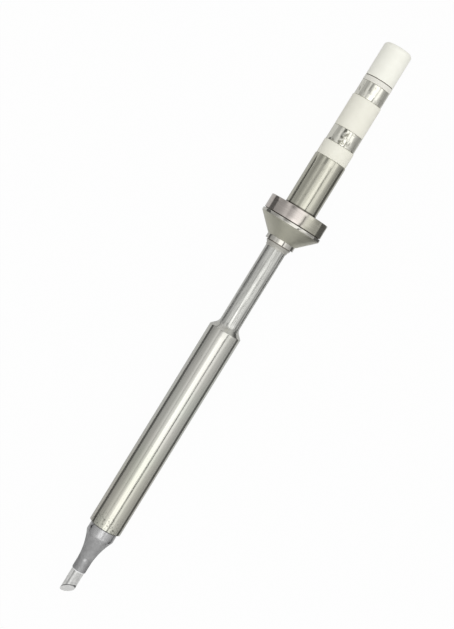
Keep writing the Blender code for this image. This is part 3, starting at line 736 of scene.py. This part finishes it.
INNER_FINISHES = {
    "contact_stem": STEM_FINISH,
    "heater_core": CERAMIC_FINISH,
    "heater_sleeve": CERAMIC_FINISH,
    "lead_insulator": CERAMIC_FINISH,
    "heating_coil": COIL_FINISH,
    "sensor_bead": SENSOR_FINISH,
    "sensor_wire": SENSOR_FINISH,
    "power_crimp": CRIMP_FINISH,
    "return_crimp": CRIMP_FINISH,
    "power_lead": COPPER_FINISH,
    "return_lead": COPPER_FINISH,
}
for inner_node, inner_finish in INNER_FINISHES.items():
    frame["nodes"][inner_node].material_slots[0].material = inner_finish


# The pieces that are seen

def flare_points(start_radius, end_radius):
    """The bit's flare: an arc that leaves the shank without a corner."""
    rise = end_radius - start_radius
    arc_radius = (FLARE_LENGTH ** 2 + rise ** 2) / (2 * rise)
    sweep = math.asin(FLARE_LENGTH / arc_radius)
    points = []
    for step in range(1, FLARE_STEPS + 1):
        angle = sweep * step / FLARE_STEPS
        radius = start_radius + arc_radius * (1 - math.cos(angle))
        points.append((radius, FLARE_FRONT + arc_radius * math.sin(angle), 0.0))
    return points


def swell_solder(mesh):
    """Gives the tinned end the slightly uneven coat that solder leaves."""
    for vertex in mesh.verts:
        if vertex.co.z > TINNED_LENGTH or vertex.co.xy.length < POINT_RADIUS * SOLDER_SKIN:
            continue
        fade = min(1.0, (TINNED_LENGTH - vertex.co.z) / SOLDER_FADE)
        swell = (noise.noise(vertex.co * SOLDER_GRAIN) - SOLDER_MEAN) * SOLDER_SWELL * fade
        vertex.co.xy *= 1 + swell / POINT_RADIUS


def cut_bevel(mesh):
    """Cuts the working face and rounds its rim."""
    cut = bmesh.ops.bisect_plane(
        mesh, geom=mesh.verts[:] + mesh.edges[:] + mesh.faces[:], dist=CUT_TOLERANCE,
        plane_co=BEVEL_CENTRE, plane_no=BEVEL_OUTWARD, clear_outer=True)
    rim = [item for item in cut["geom_cut"] if isinstance(item, bmesh.types.BMEdge)]
    bmesh.ops.edgeloop_fill(mesh, edges=rim)
    bmesh.ops.bevel(
        mesh, geom=rim, offset=BEVEL_RIM, segments=BEVEL_ROUND_STEPS, profile=0.5,
        affect="EDGES", clamp_overlap=True)


def make_bit():
    point = POINT_RADIUS * FLAT_SHARE
    plated = (POINT_RADIUS + PLATING_STEP) * FLAT_SHARE
    bore_end = BIT.rear - BIT_BORE_DEPTH
    outline = [
        (0.0, BLANK_FRONT, 0.0),
        (point, BLANK_FRONT, 0.0),
        (point, TINNED_LENGTH, FINE_EDGE),
        (plated, TINNED_LENGTH + PLATING_STEP, BIT_EDGE),
        (plated, FLARE_FRONT, 0.0),
        *flare_points(plated, BIT.radius),
        (BIT.radius, BIT.rear, BIT_EDGE),
        (BIT.rear_bore, BIT.rear, 0.0),
        (BIT.rear_bore, bore_end, 0.0),
        (0.0, bore_end, 0.0),
    ]
    mesh = spun(outline, BIT_PITCH)
    swell_solder(mesh)
    cut_bevel(mesh)
    return add_piece("bit", mesh, BIT_FINISH)


def make_barrel():
    bore_front = BARREL_REAR - BARREL_WALL * math.tan(SHOULDER_ANGLE / 2)
    bore_rear = bore_front + (BARREL.front_bore - BARREL.rear_bore) / math.tan(SHOULDER_ANGLE)
    outline = [
        (BARREL.radius, BARREL.front, TUBE_EDGE),
        (BARREL.radius, BARREL_REAR, SHOULDER_EDGE),
        (NECK_RING, NECK_FRONT, SHOULDER_FILLET),
        (NECK_RING, BARREL.rear, 0.0),
        (BARREL.rear_bore, BARREL.rear, 0.0),
        (BARREL.rear_bore, bore_rear, 0.0),
        (BARREL.front_bore, bore_front, 0.0),
        (BARREL.front_bore, BARREL.front, 0.0),
    ]
    return add_piece("heater_barrel", spun(outline), BARREL_FINISH)


def make_collar():
    nose = NOSE_FRONT_RADIUS * FLAT_SHARE
    nose_rear = HUB_FRONT - HUB_GROOVE_WIDTH
    hub = HUB_RADIUS * FLAT_SHARE
    lip = LIP_RADIUS * FLAT_SHARE
    rim = RIM_RADIUS * FLAT_SHARE
    outline = [
        (nose, COLLAR.front, FINE_EDGE),
        (nose + NOSE_FRONT_RISE, COLLAR.front + NOSE_FRONT_RUN, NOSE_BEND),
        (hub - HUB_OVER_NOSE, nose_rear, TURNED_EDGE),
        (hub - HUB_GROOVE_DEPTH, nose_rear, 0.0),
        (hub - HUB_GROOVE_DEPTH, HUB_FRONT, 0.0),
        (hub, HUB_FRONT, TURNED_EDGE),
        (hub, HUB_REAR, TURNED_EDGE),
        (lip, LIP_FRONT, LIP_EDGE),
        (lip, LIP_REAR, LIP_EDGE),
        (rim - GROOVE_DEPTH, LIP_REAR, 0.0),
        (rim - GROOVE_DEPTH, RIM_FRONT, 0.0),
        (rim, RIM_FRONT, TURNED_EDGE),
        (rim, COLLAR.rear, RIM_EDGE),
        (COLLAR.rear_bore, COLLAR.rear, FINE_EDGE),
        (COLLAR.rear_bore, COLLAR.rear - SOCKET_DEPTH, 0.0),
        (COLLAR.front_bore, COLLAR.rear - SOCKET_DEPTH, 0.0),
        (COLLAR.front_bore, COLLAR.front, 0.0),
    ]
    return add_piece("collar", spun(outline, FINE_PITCH), COLLAR_FINISH)


def make_cap():
    """The rear cap: a fine rebate at its front makes the dark seam, which its finish deepens with painted
    shade, and its end has a moulding gate.
    """
    bore_end = CAP.rear - CAP_END_WALL
    seam_radius = CAP.radius - CAP_SEAM_DEPTH
    seam_rear = CAP.front + CAP_SEAM_WIDTH
    outline = [
        (0.0, bore_end, 0.0),
        (CAP.front_bore, bore_end, 0.0),
        (CAP.front_bore, CAP.front, 0.0),
        (seam_radius, CAP.front, 0.0),
        (seam_radius, seam_rear, 0.0),
        (CAP.radius, seam_rear, CONTACT_EDGE),
        (CAP.radius, CAP.rear, CAP_EDGE),
        (GATE_RADIUS, CAP.rear, GATE_EDGE),
        (GATE_RADIUS - GATE_DEPTH, CAP.rear - GATE_DEPTH, FINE_EDGE),
        (0.0, CAP.rear - GATE_DEPTH, 0.0),
    ]
    return add_piece("end_cap", spun(outline, FINE_PITCH), CAP_FINISH)


make_bit()
make_barrel()
make_collar()
tube("rear_sleeve", SLEEVE_FINISH, TUBE_EDGE)
for spacer in ("front_spacer", "middle_spacer"):
    tube(spacer, IVORY_FINISH, CONTACT_EDGE)
tube("rear_spacer", RING_FINISH, CONTACT_EDGE)
for ring in ("front_contact_ring", "rear_contact_ring"):
    tube(ring, CONTACT_FINISH, CONTACT_EDGE)
make_cap()


# Light

# The tent's greys: degrees from straight up towards +X, and the level there
BARREL_TENT = (
    (-180, 0.60), (-90, 0.47), (-70, 0.56), (-60, 0.57), (-52, 0.66), (-45, 0.78), (-37, 0.90),
    (-32, 0.84), (-30, 0.68), (-26, 0.68), (-24, 0.92), (-18, 1.02), (-13, 1.18), (-7, 1.65),
    (-3, 1.78), (18, 1.78), (23.5, 1.10), (25.5, 0.12), (29.5, 0.12), (31.5, 1.15), (35, 1.30),
    (41, 1.32), (47, 1.02), (55, 0.83), (70, 0.75), (80, 0.64), (90, 0.56), (180, 0.60),
)
COLLAR_TENT = (
    (-180, 0.60), (-90, 0.42), (-76, 0.45), (-68, 0.50), (-60, 0.58), (-52, 0.68), (-45, 0.78),
    (-38, 0.89), (-34, 0.84), (-30, 0.66), (-27, 0.66), (-22, 0.80), (-14, 1.00), (-7, 1.34),
    (-1, 1.55), (16, 1.60), (23, 1.52), (25.5, 1.20), (27.5, 0.22), (31, 0.22), (33.5, 1.05),
    (38, 1.15), (45, 1.12), (53, 0.90), (60, 0.76), (68, 0.67), (77, 0.60), (90, 0.50), (180, 0.60),
)
SLEEVE_TENT = (
    (-180, 0.60), (-90, 0.44), (-70, 0.50), (-62, 0.53), (-55, 0.57), (-48, 0.65), (-41, 0.80),
    (-34, 0.82), (-29, 0.62), (-24, 0.64), (-19, 0.70), (-13, 0.76), (-6, 0.93), (0, 1.10),
    (7, 1.20), (13, 1.40), (23, 1.50), (25.2, 1.30), (27.2, 0.06), (32.8, 0.06), (34.8, 1.15),
    (41, 1.24), (48, 1.36), (55, 1.14), (62, 0.96), (70, 0.78), (79, 0.67), (90, 0.58), (180, 0.60),
)
CONTACT_TENT = (
    (-180, 0.60), (-90, 0.50), (-84, 0.52), (-75, 0.50), (-66, 0.45), (-57, 0.54), (-50, 0.76),
    (-44, 0.90), (-39, 0.92), (-34, 0.64), (-29, 0.40), (-23, 0.36), (-18, 0.56), (-12, 0.82),
    (-6, 1.18), (0, 1.42), (6, 1.50), (24, 1.50), (31, 1.32), (34.5, 0.86), (37.5, 0.86),
    (41, 1.32), (56, 1.38), (61, 1.00), (66, 0.72), (72, 0.60), (80, 0.50), (90, 0.45), (180, 0.60),
)
TENT_PEAK = max(level for _, level in BARREL_TENT)

# Which greys take over towards the rear, and between which Y of the light's direction
TENT_CHANGES = (
    (COLLAR_TENT, -0.110, -0.080),
    (SLEEVE_TENT, -0.008, 0.004),
    (CONTACT_TENT, 0.028, 0.040),
)
TENT_END = 0.72
TENT_END_FADE = (0.62, 0.86)


def tent_ramp(tree, angle, greys):
    """The tent's greys, over the angle from straight up."""
    sockets = {"Value": angle, "From Min": -math.pi, "From Max": math.pi}
    share = add_node(tree, "ShaderNodeMapRange", sockets).outputs[0]
    stops = [((degrees + 180) / 360, grey(level / TENT_PEAK)) for degrees, level in greys]
    return fill_ramp(add_node(tree, "ShaderNodeValToRGB", {0: share}), stops)


def faded(tree, value, low, high, before, after):
    """One colour that turns into another while a value rises."""
    sockets = {"Value": value, "From Min": low, "From Max": high}
    share = add_node(tree, "ShaderNodeMapRange", sockets, interpolation_type="SMOOTHSTEP").outputs[0]
    return add_node(tree, "ShaderNodeMix", {0: share, 6: before, 7: after}, data_type="RGBA").outputs[2]


def make_tent():
    """A soft studio tent, whose greys change along the tip. The camera sees plain white instead."""
    world = bpy.data.worlds.new("tent")
    bpy.context.scene.world = world
    world.use_nodes = True
    tree = world.node_tree
    tree.nodes.clear()
    direction = add_node(tree, "ShaderNodeTexCoord", {}).outputs["Generated"]
    parts = add_node(tree, "ShaderNodeSeparateXYZ", {0: direction}).outputs
    angle = add_node(tree, "ShaderNodeMath", {0: parts[0], 1: parts[2]}, operation="ARCTAN2").outputs[0]
    level = tent_ramp(tree, angle, BARREL_TENT)
    for greys, low, high in TENT_CHANGES:
        level = faded(tree, parts[1], low, high, level, tent_ramp(tree, angle, greys))
    along = add_node(tree, "ShaderNodeMath", {0: parts[1]}, operation="ABSOLUTE").outputs[0]
    level = faded(tree, along, *TENT_END_FADE, level, grey(TENT_END / TENT_PEAK))
    seen = add_node(tree, "ShaderNodeLightPath", {}).outputs["Is Camera Ray"]
    level = faded(tree, seen, 0.0, 1.0, level, grey(1 / TENT_PEAK))
    light = add_node(tree, "ShaderNodeBackground", {0: level, 1: TENT_PEAK}).outputs[0]
    add_node(tree, "ShaderNodeOutputWorld", {0: light})


FLOOR_SIZE = 6.0
FLOOR_COLOUR = 0.62
SEEN_SHARE = 0.97
REFLECTED_SHARE = 0.22

CARD_LIFT = 0.2
CARD_DARK = 0.15
CARD_GREY = 0.56
REAR_CARD_GREY = 0.40
LEFT_CARD_REACH = 400.0
RIGHT_CARD_REACH = 600.0

# The cards' inner edges: station, and distance from the axis
LEFT_CARD_EDGES = ((-90.0, 2.4), (87.0, 19.9))
RIGHT_CARD_EDGES = (
    (-90.0, 2.8), (15.0, 6.8), (50.0, 10.0), (64.0, 8.8),
    (72.0, 8.2), (75.0, 8.2), (76.0, 9.8), (87.0, 10.2),
)
REAR_CARD_EDGES = ((87.0, 9.2), (300.0, 15.0))
CARD_FADE = (10.5, 14.5)
CARD_SPREAD = 0.3


def card_finish(name):
    finish = Finish(name, 0.0)
    finish.shader.inputs["Roughness"].default_value = 1.0
    finish.shader.inputs["Specular IOR Level"].default_value = 0.0
    return finish


def plain_card(name, level):
    finish = card_finish(name)
    finish.shader.inputs["Base Color"].default_value = grey(level)
    return finish.material


def turning_card(name, near, far):
    """A card that turns from one grey to another, along a line that leaves the tip towards the rear."""
    finish = card_finish(name)
    spread = finish.maths("MULTIPLY", finish.station(), CARD_SPREAD)
    line = finish.maths("SUBTRACT", finish.side(), spread)
    return finish.feed(base_color=finish.mixed(finish.between(line, *CARD_FADE), grey(near), grey(far)))


def make_card(name, side, edges, out, finish):
    """A card that lies beside the tip: only polished metal sees it, as dark lines near its edges."""
    far_edge = [(station, out) for station in (edges[-1][0], edges[0][0])]
    mesh = bmesh.new()
    points = []
    for station, across in [*edges, *far_edge]:
        along = (TIP @ Vector((0, 0, station * MM))).y
        points.append(mesh.verts.new((side * across * MM, along, CARD_LIFT * MM)))
    mesh.faces.new(points)
    data = bpy.data.meshes.new(name)
    mesh.to_mesh(data)
    mesh.free()
    data.materials.append(finish)
    card = bpy.data.objects.new(name, data)
    bpy.context.scene.collection.objects.link(card)
    card.visible_camera = False
    card.visible_diffuse = False
    card.visible_shadow = False


def make_cards():
    dark = plain_card("dark_card", CARD_DARK)
    soft = turning_card("soft_card", CARD_DARK, CARD_GREY)
    pale = plain_card("grey_card", REAR_CARD_GREY)
    make_card("left_card", -1, LEFT_CARD_EDGES, LEFT_CARD_REACH, dark)
    make_card("right_card", 1, RIGHT_CARD_EDGES, RIGHT_CARD_REACH, soft)
    make_card("rear_card", 1, REAR_CARD_EDGES, RIGHT_CARD_REACH, pale)


def make_floor():
    """A plain pale floor that keeps the object's shadow and reads white to the camera."""
    material = bpy.data.materials.new("pale_floor")
    material.use_nodes = True
    tree = material.node_tree
    tree.nodes.clear()
    diffuse = add_node(tree, "ShaderNodeBsdfDiffuse", {"Color": grey(FLOOR_COLOUR)}).outputs[0]
    white = add_node(tree, "ShaderNodeEmission", {"Strength": 1.0}).outputs[0]
    rays = add_node(tree, "ShaderNodeLightPath", {}).outputs
    sockets = {0: rays["Is Glossy Ray"], 1: rays["Is Transmission Ray"]}
    reflected = add_node(tree, "ShaderNodeMath", sockets, operation="MAXIMUM").outputs[0]
    shares = []
    for ray, share in ((rays["Is Camera Ray"], SEEN_SHARE), (reflected, REFLECTED_SHARE)):
        shares.append(add_node(tree, "ShaderNodeMath", {0: ray, 1: share}, operation="MULTIPLY").outputs[0])
    seen = add_node(tree, "ShaderNodeMath", {0: shares[0], 1: shares[1]}, operation="MAXIMUM").outputs[0]
    mix = add_node(tree, "ShaderNodeMixShader", {0: seen, 1: diffuse, 2: white}).outputs[0]
    add_node(tree, "ShaderNodeOutputMaterial", {"Surface": mix})
    bpy.ops.mesh.primitive_plane_add(size=FLOOR_SIZE)
    floor = bpy.context.object
    floor.name = "floor"
    floor.data.materials.append(material)


# Camera

PHOTO_HEIGHT = 629
FOCAL_PIXELS = 1500.0
CAMERA_DISTANCE = 246.2
CAMERA_STATION = 66.66
AIM_STATION = 53.72
CAMERA_SIDE = -1.23
AXIS_RIGHT = 0.5243
AXIS_UP = 0.8516


def make_camera():
    """Looks down on the tip, whose rear points to the upper right of the picture."""
    metres = TIP @ Matrix.Scale(MM, 4)
    eye = metres @ Vector((CAMERA_SIDE, -CAMERA_DISTANCE, CAMERA_STATION))
    aim = metres @ Vector((CAMERA_SIDE, 0.0, AIM_STATION))
    back = (eye - aim).normalized()
    side = TIP.to_3x3().col[0]
    side = (side - back * side.dot(back)).normalized()
    along = back.cross(side)
    right = along * AXIS_RIGHT + side * AXIS_UP
    up = along * AXIS_UP - side * AXIS_RIGHT
    data = bpy.data.cameras.new("photo_camera")
    data.sensor_width = 36.0
    data.lens = FOCAL_PIXELS / PHOTO_HEIGHT * data.sensor_width
    data.clip_start = 0.01
    data.clip_end = 20.0
    camera = bpy.data.objects.new("photo_camera", data)
    bpy.context.scene.collection.objects.link(camera)
    camera.matrix_world = Matrix.Translation(eye) @ Matrix((right, up, back)).transposed().to_4x4()
    bpy.context.scene.camera = camera


make_tent()
make_floor()
make_cards()
make_camera()
bpy.context.scene.view_settings.view_transform = "Standard"
